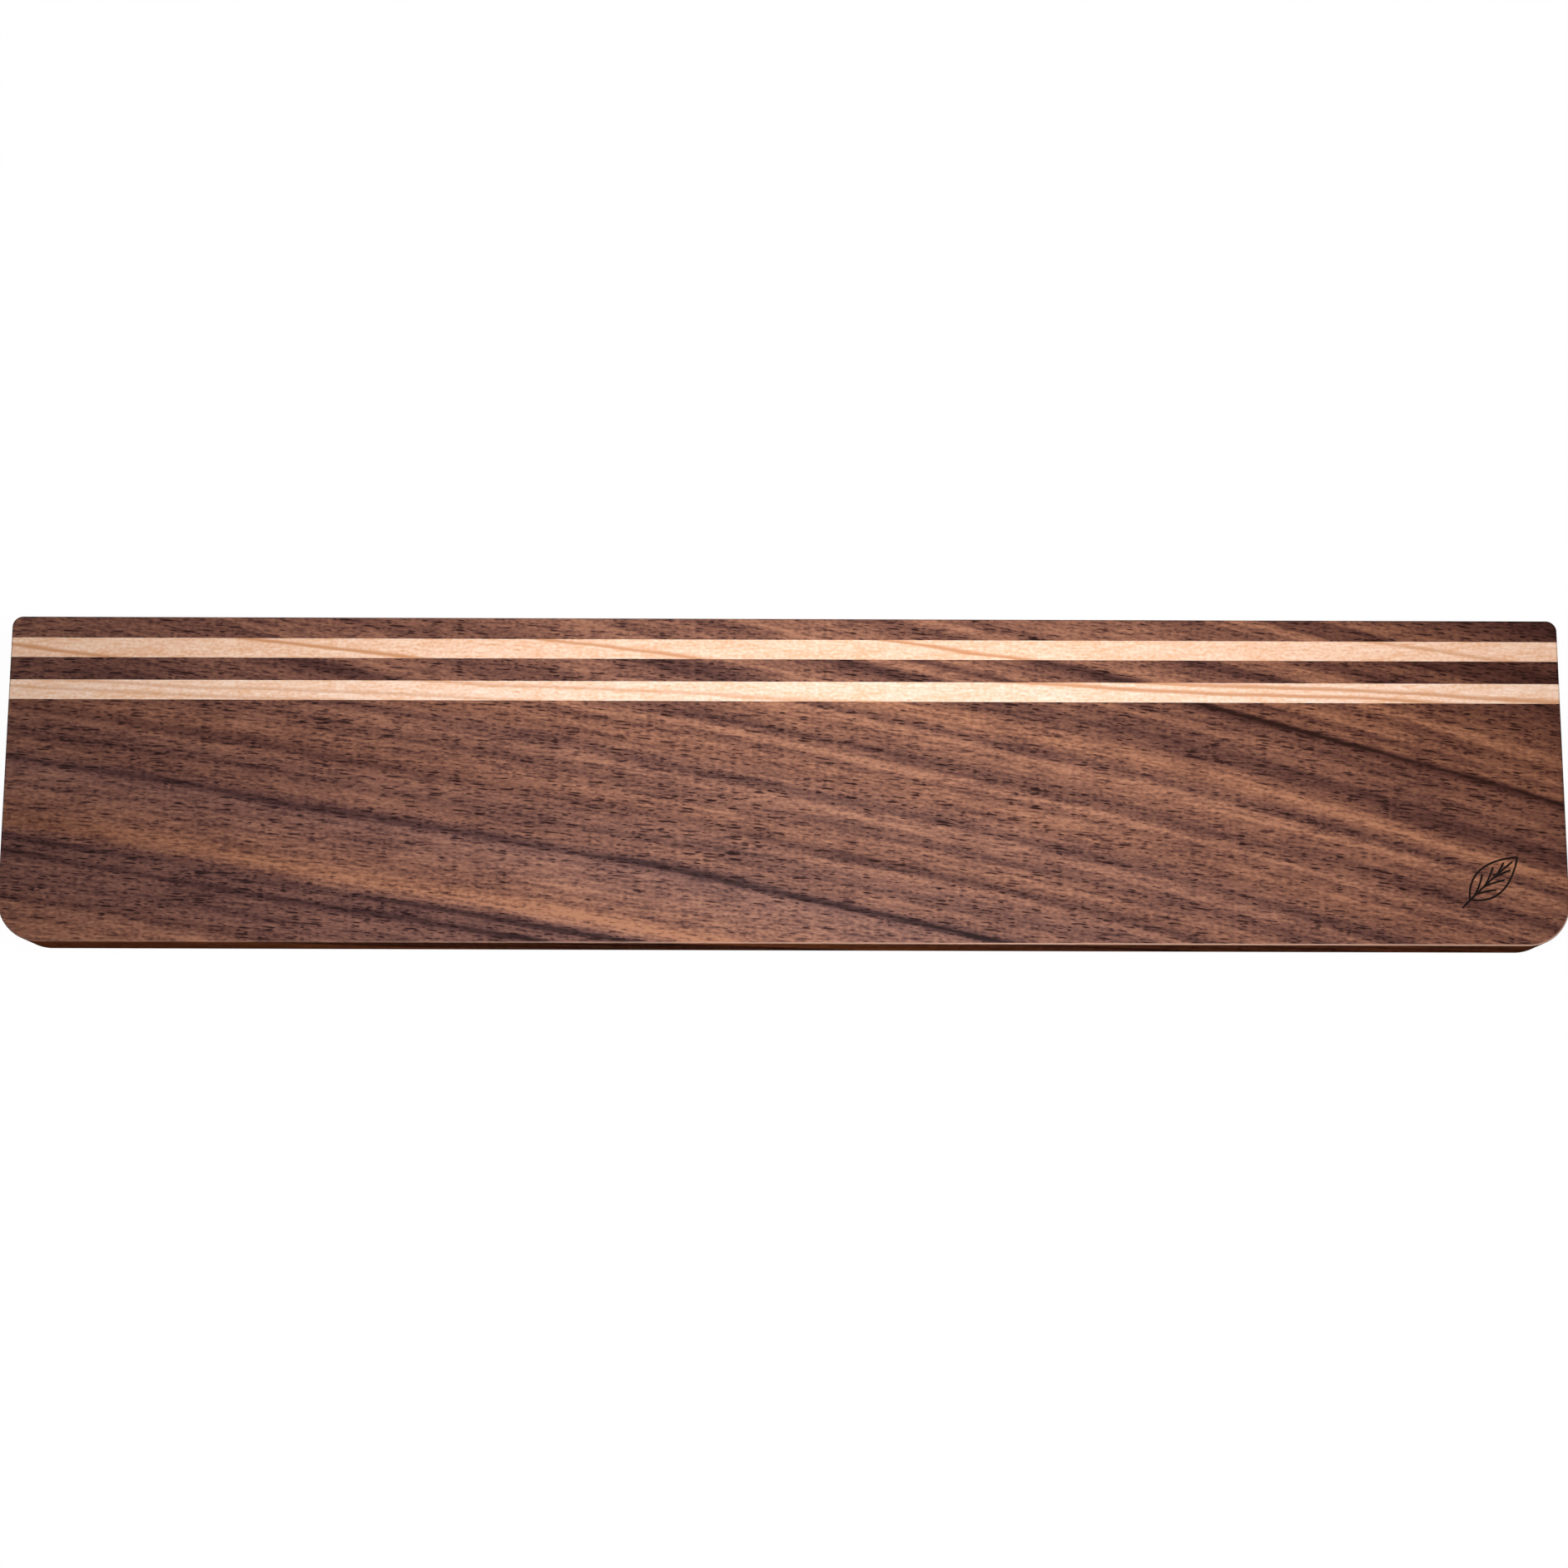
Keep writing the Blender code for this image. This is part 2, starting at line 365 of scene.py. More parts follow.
# How much each layer varies the tone
TONE_SHARES = (("clouds", 0.9), ("streaks", 1.75), ("fibre", 1.7), ("speckle", 1.6))
# A streak's contrast: how much it varies along its length, its mean, and what it gains with each mm of X
STRENGTH_SHARE = 2.6
STRENGTH_MEAN = 1.2
STRENGTH_GAIN = 0.0013
# The pores, large to small: the length and width of the timber that each has to itself, in mm, how much of
# that it fills, and its darkness. Real ones are 0.1 to 0.2 mm wide, and they are drawn twice as wide so that
# they show
WALNUT_PORES = ((6.5, 0.75, 0.42, 1.0), (3.4, 0.62, 0.42, 1.0), (2.0, 0.52, 0.40, 0.8))
# A pore is fully dark out to this share of its radius. It is closed if its random number is below the first
# of these chances, and wide open if it is above the second
PORE_CORE = 0.45
PORE_CHANCES = (0.35, 0.9)
# The pores are darker along the dark growth lines: a dark tone and a pale one, and the factor at each
PORE_TONES = (0.2, 0.7)
PORE_DEPTHS = (1.5, 0.55)
# Painted shade on the sides and the underside: their colour is multiplied by this, fully
# where the Z of the normal is below the first of these heights, and not above the second
SIDE_SHADE = (0.98, 0.62, 0.36, 1.0)
SIDE_SHADE_HEIGHTS = (0.2, 0.5)
# A painted highlight makes the front rim paler: fully where the Z of the normal is below the first of these
# heights, and not above the second. It takes a normal that leans forward by these amounts, from none to full
RIM_HIGHLIGHT_BROWN = "BA937F"
RIM_HIGHLIGHT_HEIGHTS = (0.93, 0.999)
RIM_HIGHLIGHT_LEANS = (0.02, 0.25)
# Along the rim: the painted highlight's share up to the first of these places, in mm. It is full from the
# second on, where the light from the front right falls
RIM_HIGHLIGHT_LEAST = 0.2
RIM_HIGHLIGHT_SPAN = (-130.0, 60.0)
# The oil's refraction, how strongly it shines, the roughness and what a pore adds to it, and the relief
OIL_IOR = 1.5
WALNUT_SHINE = 0.12
WALNUT_ROUGHNESS = 0.42
PORE_ROUGHNESS = 0.35
PORE_RELIEF = -2.0
WALNUT_RELIEF = 0.3
RELIEF_DEPTH = 0.0001


def black_walnut(name, lines, streaks, warmth, centre_mm):
    """Oiled black walnut. It gives the eye purple-brown and golden streaks with feathered edges, short dark
    dashes where open pores drink the oil, and a low, soft sheen. The figure runs on through the timber."""
    material = bpy.data.materials.new(name)
    material.use_nodes = True
    tree = material.node_tree
    shader = tree.nodes["Principled BSDF"]
    shader.inputs["IOR"].default_value = OIL_IOR
    shader.inputs["Specular IOR Level"].default_value = WALNUT_SHINE

    # Millimetres from the middle of the strip's top face
    coordinates = add_node(tree, "ShaderNodeTexCoord", {}, {})
    millimetres = add_node(
        tree,
        "ShaderNodeMapping",
        {},
        {
            "Vector": coordinates.outputs["Object"],
            "Scale": (MM_PER_METRE,) * 3,
            "Location": [-distance for distance in centre_mm],
        },
    )
    axes = add_node(tree, "ShaderNodeSeparateXYZ", {}, {0: millimetres})
    x, y, z = axes.outputs

    # The same place measured across the growth lines, and across the fibres
    spaces = {}
    for space, (slant, bend, twist), dip in (("rings", lines, RING_DIP), ("fibres", FIBRES, 0.0)):
        slope = add_node(tree, "ShaderNodeMath", {"operation": "MULTIPLY_ADD"}, {0: x, 1: twist, 2: bend})
        slope = add_node(tree, "ShaderNodeMath", {"operation": "MULTIPLY_ADD"}, {0: x, 1: slope, 2: slant})
        across = add_node(tree, "ShaderNodeMath", {"operation": "MULTIPLY_ADD"}, {0: x, 1: slope, 2: y})
        across = add_node(tree, "ShaderNodeMath", {"operation": "MULTIPLY_ADD"}, {0: z, 1: dip, 2: across})
        spaces[space] = add_node(tree, "ShaderNodeCombineXYZ", {}, {0: x, 1: across, 2: z})
        if space == "rings":
            line_place = across

    layers = {}
    for layer, space, length, width, detail, roughness in WALNUT_LAYERS:
        stretched = add_node(
            tree,
            "ShaderNodeMapping",
            {},
            {"Vector": spaces[space], "Scale": (1 / length, 1 / width, 1 / width)},
        )
        layers[layer] = add_node(
            tree,
            "ShaderNodeTexNoise",
            {},
            {"Vector": stretched, "Scale": 1.0, "Detail": detail, "Roughness": roughness},
        )

    # The growth lines wander, and the fibres feather their edges. Noise is 0.5 on average
    for layer, shift in LINE_SHIFTS:
        moved = add_node(
            tree, "ShaderNodeMath", {"operation": "MULTIPLY_ADD"}, {0: layers[layer], 1: shift, 2: line_place}
        )
        line_place = add_node(tree, "ShaderNodeMath", {"operation": "SUBTRACT"}, {0: moved, 1: shift / 2})

    # One ramp holds the streaks below 0 and the other those above it, because a ramp has 32 stops at most
    halves = []
    for low, high in ((-FIGURE_REACH, 0.0), (0.0, FIGURE_REACH)):
        position = add_node(
            tree, "ShaderNodeMapRange", {}, {"Value": line_place, "From Min": low, "From Max": high}
        )
        half = add_node(tree, "ShaderNodeValToRGB", {}, {0: position})
        stops = [
            ((place - low) / (high - low), (tone, tone, tone, 1.0))
            for place, tone in streaks
            if low <= place <= high
        ]
        set_stops(half, stops, "EASE")
        halves.append(half)
    is_rear_half = add_node(
        tree, "ShaderNodeMath", {"operation": "GREATER_THAN"}, {0: line_place, 1: 0.0}
    )
    streak_tone = add_node(
        tree, "ShaderNodeMix", {"data_type": "FLOAT"}, {0: is_rear_half, 2: halves[0], 3: halves[1]}
    )

    # A streak is stronger in one stretch of its length than in another
    contrast = add_node(
        tree,
        "ShaderNodeMath",
        {"operation": "MULTIPLY_ADD"},
        {0: x, 1: STRENGTH_GAIN, 2: STRENGTH_MEAN - STRENGTH_SHARE / 2},
    )
    contrast = add_node(
        tree,
        "ShaderNodeMath",
        {"operation": "MULTIPLY_ADD"},
        {0: layers["strength"], 1: STRENGTH_SHARE, 2: contrast},
    )
    departure = add_node(
        tree, "ShaderNodeMath", {"operation": "SUBTRACT"}, {0: streak_tone, 1: MEAN_TONE}
    )
    figure = add_node(
        tree, "ShaderNodeMath", {"operation": "MULTIPLY_ADD"}, {0: departure, 1: contrast, 2: MEAN_TONE}
    )

    # Pores: long thin cells along the fibres, some of them faint or closed
    pores = 0.0
    for length, width, fill, depth in WALNUT_PORES:
        pore_space = add_node(
            tree,
            "ShaderNodeMapping",
            {},
            {"Vector": spaces["fibres"], "Scale": (1 / length, 1 / width, 1 / width)},
        )
        cells = add_node(
            tree,
            "ShaderNodeTexVoronoi",
            {"voronoi_dimensions": "3D", "feature": "F1"},
            {"Vector": pore_space, "Scale": 1.0, "Randomness": 1.0},
        )
        chance = add_node(tree, "ShaderNodeSeparateColor", {}, {0: cells.outputs["Color"]})
        openness = add_node(
            tree,
            "ShaderNodeMapRange",
            {"interpolation_type": "SMOOTHSTEP"},
            {"Value": chance, "From Min": PORE_CHANCES[0], "From Max": PORE_CHANCES[1]},
        )
        pore = add_node(
            tree,
            "ShaderNodeMapRange",
            {"interpolation_type": "SMOOTHSTEP"},
            {
                "Value": cells.outputs["Distance"],
                "From Min": fill * PORE_CORE,
                "From Max": fill,
                "To Min": depth,
                "To Max": 0.0,
            },
        )
        pores = add_node(
            tree, "ShaderNodeMath", {"operation": "MULTIPLY_ADD"}, {0: pore, 1: openness, 2: pores}
        )

    pore_depth = add_node(
        tree,
        "ShaderNodeMapRange",
        {},
        {
            "Value": figure,
            "From Min": PORE_TONES[0],
            "From Max": PORE_TONES[1],
            "To Min": PORE_DEPTHS[0],
            "To Max": PORE_DEPTHS[1],
        },
    )
    pores = add_node(tree, "ShaderNodeMath", {"operation": "MULTIPLY"}, {0: pores, 1: pore_depth})

    # Tone: the streaks, the finer grain in them, the pores and the painted shade towards the ends
    grain = 1 - sum(share for _, share in TONE_SHARES) / 2
    for layer, share in TONE_SHARES:
        grain = add_node(
            tree, "ShaderNodeMath", {"operation": "MULTIPLY_ADD"}, {0: layers[layer], 1: share, 2: grain}
        )
    sound_timber = add_node(
        tree, "ShaderNodeMath", {"operation": "SUBTRACT", "use_clamp": True}, {0: 1.0, 1: pores}
    )
    # Painted shade: the timber darkens towards both ends, where the light falls off
    end_place = add_node(
        tree, "ShaderNodeMapRange", {}, {"Value": x, "From Min": -END_REACH, "From Max": END_REACH}
    )
    end_shade = add_node(tree, "ShaderNodeValToRGB", {}, {0: end_place})
    stops = [
        ((place + END_REACH) / (2 * END_REACH), (tone, tone, tone, 1.0)) for place, tone in END_SHADE_FACTORS
    ]
    set_stops(end_shade, stops, "LINEAR")
    tone = figure
    for factor in (grain, sound_timber, end_shade):
        tone = add_node(tree, "ShaderNodeMath", {"operation": "MULTIPLY"}, {0: tone, 1: factor})

    browns = []
    for palette in (COOL_BROWNS, WARM_BROWNS):
        brown = add_node(tree, "ShaderNodeValToRGB", {}, {0: tone})
        set_stops(brown, [(position, linear(colour)) for position, colour in palette], "LINEAR")
        browns.append(brown)
    warmth_place = add_node(
        tree,
        "ShaderNodeMapRange",
        {},
        {"Value": line_place, "From Min": -FIGURE_REACH, "From Max": FIGURE_REACH},
    )
    warm = add_node(tree, "ShaderNodeValToRGB", {}, {0: warmth_place})
    stops = [
        ((place + FIGURE_REACH) / (2 * FIGURE_REACH), (share, share, share, 1.0))
        for place, share in warmth
    ]
    set_stops(warm, stops, "EASE")
    face_colour = add_node(
        tree, "ShaderNodeMix", {"data_type": "RGBA"}, {0: warm, 6: browns[0], 7: browns[1]}
    )

    # Painted shade on the sides, and a painted highlight on the front rim
    lean = add_node(tree, "ShaderNodeSeparateXYZ", {}, {0: coordinates.outputs["Normal"]})
    # Painted shade: the sides and the underside are darkened according to where their normal points
    shaded_side = add_node(
        tree,
        "ShaderNodeMapRange",
        {},
        {
            "Value": lean.outputs[2],
            "From Min": SIDE_SHADE_HEIGHTS[0],
            "From Max": SIDE_SHADE_HEIGHTS[1],
            "To Min": 1.0,
            "To Max": 0.0,
        },
    )
    side_shaded = add_node(
        tree,
        "ShaderNodeMix",
        {"data_type": "RGBA", "blend_type": "MULTIPLY"},
        {0: shaded_side, 6: face_colour.outputs[2], 7: SIDE_SHADE},
    )
    # Painted highlight: the front rim is mixed towards a pale brown, more strongly towards the right
    rim_highlight = add_node(
        tree,
        "ShaderNodeMapRange",
        {},
        {
            "Value": lean.outputs[2],
            "From Min": RIM_HIGHLIGHT_HEIGHTS[0],
            "From Max": RIM_HIGHLIGHT_HEIGHTS[1],
            "To Min": 1.0,
            "To Max": 0.0,
        },
    )
    rim_highlight = add_node(
        tree, "ShaderNodeMath", {"operation": "SUBTRACT", "use_clamp": True}, {0: rim_highlight, 1: shaded_side}
    )
    forward = add_node(
        tree,
        "ShaderNodeMapRange",
        {},
        {"Value": lean.outputs[1], "From Min": -RIM_HIGHLIGHT_LEANS[0], "From Max": -RIM_HIGHLIGHT_LEANS[1]},
    )
    rim_highlight = add_node(tree, "ShaderNodeMath", {"operation": "MULTIPLY"}, {0: rim_highlight, 1: forward})
    rightward = add_node(
        tree,
        "ShaderNodeMapRange",
        {},
        {
            "Value": x,
            "From Min": RIM_HIGHLIGHT_SPAN[0],
            "From Max": RIM_HIGHLIGHT_SPAN[1],
            "To Min": RIM_HIGHLIGHT_LEAST,
            "To Max": 1.0,
        },
    )
    rim_highlight = add_node(tree, "ShaderNodeMath", {"operation": "MULTIPLY"}, {0: rim_highlight, 1: rightward})
    colour = add_node(
        tree,
        "ShaderNodeMix",
        {"data_type": "RGBA"},
        {0: rim_highlight, 6: side_shaded.outputs[2], 7: linear(RIM_HIGHLIGHT_BROWN)},
    )
    tree.links.new(colour.outputs[2], shader.inputs["Base Color"])

    roughness = add_node(
        tree,
        "ShaderNodeMath",
        {"operation": "MULTIPLY_ADD"},
        {0: pores, 1: PORE_ROUGHNESS, 2: WALNUT_ROUGHNESS},
    )
    tree.links.new(roughness.outputs[0], shader.inputs["Roughness"])
    relief = add_node(
        tree,
        "ShaderNodeMath",
        {"operation": "MULTIPLY_ADD"},
        {0: pores, 1: PORE_RELIEF, 2: layers["fibre"]},
    )
    bump = add_node(
        tree,
        "ShaderNodeBump",
        {},
        {"Height": relief, "Strength": WALNUT_RELIEF, "Distance": RELIEF_DEPTH},
    )
    tree.links.new(bump.outputs[0], shader.inputs["Normal"])
    return material


top_mm = wood_high.z * MM_PER_METRE
front_board = strip_from_blank(
    "walnut_front_board",
    black_walnut(
        "oiled_black_walnut_wide",
        FRONT_BOARD_LINES,
        FRONT_BOARD_STREAKS,
        FRONT_BOARD_WARMTH,
        (0, 0, top_mm),
    ),
)
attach(front_board, "root")
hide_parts("walnut_front_board")


# ---------------------------------------------------------------------------------------------------------
# The leaf: a small ornament in the front board's right corner, burnt in with a fine round tip. Each stroke
# is a shallow groove, half as deep as it is wide, with charred walls.

GROOVE_RADIUS_MM = 0.28
LEAF_BASE_MM = (190.8, -34.6)
LEAF_LENGTH_MM = 20.0
LEAF_TURN = math.radians(41)
# Along the leaf and across it, as shares of its length: each stroke runs from the first point to the last
# and is drawn towards the one between
LEAF_STROKES = (
    ((-0.08, -0.02), (0.45, 0.02), (0.90, 0.0)),
    ((0.08, 0.0), (0.42, 0.42), (1.0, 0.0)),
    ((0.08, 0.0), (0.42, -0.42), (1.0, 0.0)),
    ((0.18, 0.0), (0.33, 0.05), (0.46, 0.15)),
    ((0.18, 0.0), (0.33, -0.05), (0.46, -0.15)),
    ((0.36, 0.0), (0.50, 0.04), (0.64, 0.12)),
    ((0.36, 0.0), (0.50, -0.04), (0.64, -0.12)),
    ((0.56, 0.0), (0.67, 0.02), (0.80, 0.07)),
    ((0.56, 0.0), (0.67, -0.02), (0.80, -0.07)),
)
# A stroke's curve has this many steps, and its round this many to each quarter. Its handles go this far to
# the point between
STROKE_STEPS = 10
STROKE_ROUND_STEPS = 4
HANDLE_REACH = 2 / 3
CHAR_DARK = "0B0706"
CHAR_PALE = "1E120E"
# The soot's noise, from the dark char to the pale
CHAR_RANGE = (0.35, 0.65)
SOOT_GRAIN_MM = 0.4
CHAR_ROUGHNESS = 0.85
CHAR_RELIEF = 0.4

# Charred walnut: matt, nearly black, browner where the tip was moved faster
burnt_walnut = bpy.data.materials.new("burnt_walnut")
burnt_walnut.use_nodes = True
tree = burnt_walnut.node_tree
shader = tree.nodes["Principled BSDF"]
shader.inputs["Roughness"].default_value = CHAR_ROUGHNESS
coordinates = add_node(tree, "ShaderNodeTexCoord", {}, {})
soot_space = add_node(
    tree,
    "ShaderNodeMapping",
    {},
    {"Vector": coordinates.outputs["Object"], "Scale": (MM_PER_METRE / SOOT_GRAIN_MM,) * 3},
)
soot = add_node(tree, "ShaderNodeTexNoise", {}, {"Vector": soot_space, "Scale": 1.0, "Detail": 2.0})
char = add_node(tree, "ShaderNodeValToRGB", {}, {0: soot})
set_stops(char, [(CHAR_RANGE[0], linear(CHAR_DARK)), (CHAR_RANGE[1], linear(CHAR_PALE))], "LINEAR")
tree.links.new(char.outputs[0], shader.inputs["Base Color"])
bump = add_node(
    tree, "ShaderNodeBump", {}, {"Height": soot, "Strength": CHAR_RELIEF, "Distance": RELIEF_DEPTH}
)
tree.links.new(bump.outputs[0], shader.inputs["Normal"])

leaf_place = (
    Matrix.Translation((LEAF_BASE_MM[0] / MM_PER_METRE, LEAF_BASE_MM[1] / MM_PER_METRE, wood_high.z))
    @ Matrix.Rotation(LEAF_TURN, 4, "Z")
    @ Matrix.Scale(LEAF_LENGTH_MM / MM_PER_METRE, 4)
)
for stroke in LEAF_STROKES:
    start, middle, end = [leaf_place @ Vector((along, across, 0)) for along, across in stroke]
    deselect_all()
    bpy.ops.curve.primitive_bezier_curve_add()
    groove = bpy.context.object
    groove.data.dimensions = "3D"
    groove.data.resolution_u = STROKE_STEPS
    groove.data.bevel_depth = GROOVE_RADIUS_MM / MM_PER_METRE
    groove.data.bevel_resolution = STROKE_ROUND_STEPS
    groove.data.use_fill_caps = True
    first_point, last_point = groove.data.splines[0].bezier_points
    for point, place in ((first_point, start), (last_point, end)):
        point.handle_left_type = "FREE"
        point.handle_right_type = "FREE"
        point.co = place
        point.handle_left = place
        point.handle_right = place
    first_point.handle_right = start.lerp(middle, HANDLE_REACH)
    last_point.handle_left = end.lerp(middle, HANDLE_REACH)
    hold(groove)
    bpy.ops.object.convert(target="MESH")
    groove = bpy.context.object
    bpy.ops.object.mode_set(mode="EDIT")
    bpy.ops.mesh.select_all(action="SELECT")
    bpy.ops.mesh.remove_doubles(threshold=SAME_POINT)
    bpy.ops.mesh.normals_make_consistent(inside=False)
    bpy.ops.object.mode_set(mode="OBJECT")
    groove.data.materials.append(burnt_walnut)
    apply_modifier(front_board, "groove", "BOOLEAN", {"object": groove, "material_mode": "TRANSFER"})
    bpy.data.objects.remove(groove)
finish_shading(front_board)


# ---------------------------------------------------------------------------------------------------------
# The narrow walnut strips: rips from other boards of the same timber, each with a straight figure of its
# own that crosses it more steeply. One backs the rear stripe and the other parts the two stripes.

MIDDLE_STRIP_LINES = (0.24, 0.0, 0.0)
MIDDLE_STRIP_STREAKS = (
    (-80, 0.36), (-48, 0.31), (-44, 0.42), (-40, 0.40), (-36.5, 0.52), (-30, 0.28), (-26.5, 0.64),
    (-18, 0.28), (-12, 0.66), (-6, 0.27), (0, 0.62),
    (6.5, 0.28), (10, 0.72), (12, 0.34), (14, 0.69), (17, 0.48), (21, 0.20), (23, 0.68), (27, 0.48),
    (30, 0.29), (34, 0.68), (38.5, 0.34), (42, 0.47), (46, 0.28), (80, 0.32),
)
MIDDLE_STRIP_WARMTH = ((-50, 0.35), (-15, 0.45), (20, 0.65), (50, 0.95))
REAR_STRIP_LINES = (0.27, 0.0, 0.0)
REAR_STRIP_STREAKS = (
    (-80, 0.55), (-52, 0.57), (-45, 0.47), (-37, 0.60), (-34, 0.60), (-30, 0.39), (-27, 0.50),
    (-25, 0.45), (-19, 0.61), (-13, 0.72), (-10, 0.48), (-8, 0.63), (-4, 0.45), (0, 0.68),
    (4, 0.65), (10, 0.37), (13, 0.75), (17, 0.42), (20, 0.61), (26, 0.61), (32, 0.41), (34, 0.61),
    (35, 0.47), (37, 0.76), (39, 0.36), (43, 0.34), (45.5, 0.68), (50, 0.45), (54, 0.25), (80, 0.30),
)
REAR_STRIP_WARMTH = ((-55, 0.40), (-15, 0.50), (20, 0.60), (50, 0.85))

for strip_name, lines, streaks, warmth in (
    ("walnut_middle_strip", MIDDLE_STRIP_LINES, MIDDLE_STRIP_STREAKS, MIDDLE_STRIP_WARMTH),
    ("walnut_rear_strip", REAR_STRIP_LINES, REAR_STRIP_STREAKS, REAR_STRIP_WARMTH),
):
    strip_low, strip_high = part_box(strip_name)
    strip_middle = (strip_low.y + strip_high.y) / 2 * MM_PER_METRE
    timber = black_walnut(f"oiled_black_{strip_name}", lines, streaks, warmth, (0, strip_middle, top_mm))
    strip = strip_from_blank(strip_name, timber)
    finish_shading(strip)
    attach(strip, "root")
    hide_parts(strip_name)


# ---------------------------------------------------------------------------------------------------------
# The maple stripes: rips of hard maple, planed with the walnut and rubbed with the same oil, which turns
# them peach. They are glued in between the walnut strips and show on both ends of the rest.

REAR_STRIPE_GROUND = ("F4D3BC", "E3AD88")
FRONT_STRIPE_GROUND = ("F6DAC8", "E7B692")
MAPLE_LINE = "C88A5E"
MAPLE_FLECK = "CF9468"
# A growth line across: places in half widths of 0.45 mm, and the share of its strength at each
MAPLE_LINE_HALF_WIDTH = 0.45
MAPLE_LINE_PROFILE = ((-1.0, 0), (-0.2, 1), (0.8, 1), (2.4, 0))
# Each stripe's growth lines: their slant, then where each lies across them, in mm, and how strong it is
MAPLE_REACH = 32.0
REAR_STRIPE_SLANT = 0.13
FRONT_STRIPE_SLANT = 0.045
REAR_STRIPE_LINES = ((-28, 0.85), (-17, 0.9), (-6, 0.85), (6, 0.9), (24, 0.6))
FRONT_STRIPE_LINES = ((-9.2, 0.45), (-6.5, 0.45), (-2.0, 0.55), (5.4, 0.85), (7.6, 0.8))
# The layers of the figure: the length and width of each, in mm, and its detail
MAPLE_LAYERS = (
    ("wander", 70.0, 9.0, 2.0),
    ("shimmer", 16.0, 3.0, 2.0),
    ("fibre", 4.0, 0.7, 2.0),
    ("mottle", 1.2, 0.8, 1.0),
)
MAPLE_WANDER_MM = 3.0
MAPLE_SHARES = (("shimmer", 1.2), ("fibre", 1.4), ("mottle", 1.7))
# Flecks: the length and width of the timber that each has to itself, in mm, and how much of it each fills
FLECK_CELL = (3.6, 0.7)
FLECK_FILL = 0.33
FLECK_STRENGTH = 0.5
# A fleck shows if its random number is above this
FLECK_CHANCE = 0.55
MAPLE_SHINE = 0.2
MAPLE_ROUGHNESS = 0.36
MAPLE_FIBRE_ROUGHNESS = 0.12
MAPLE_RELIEF = 0.15


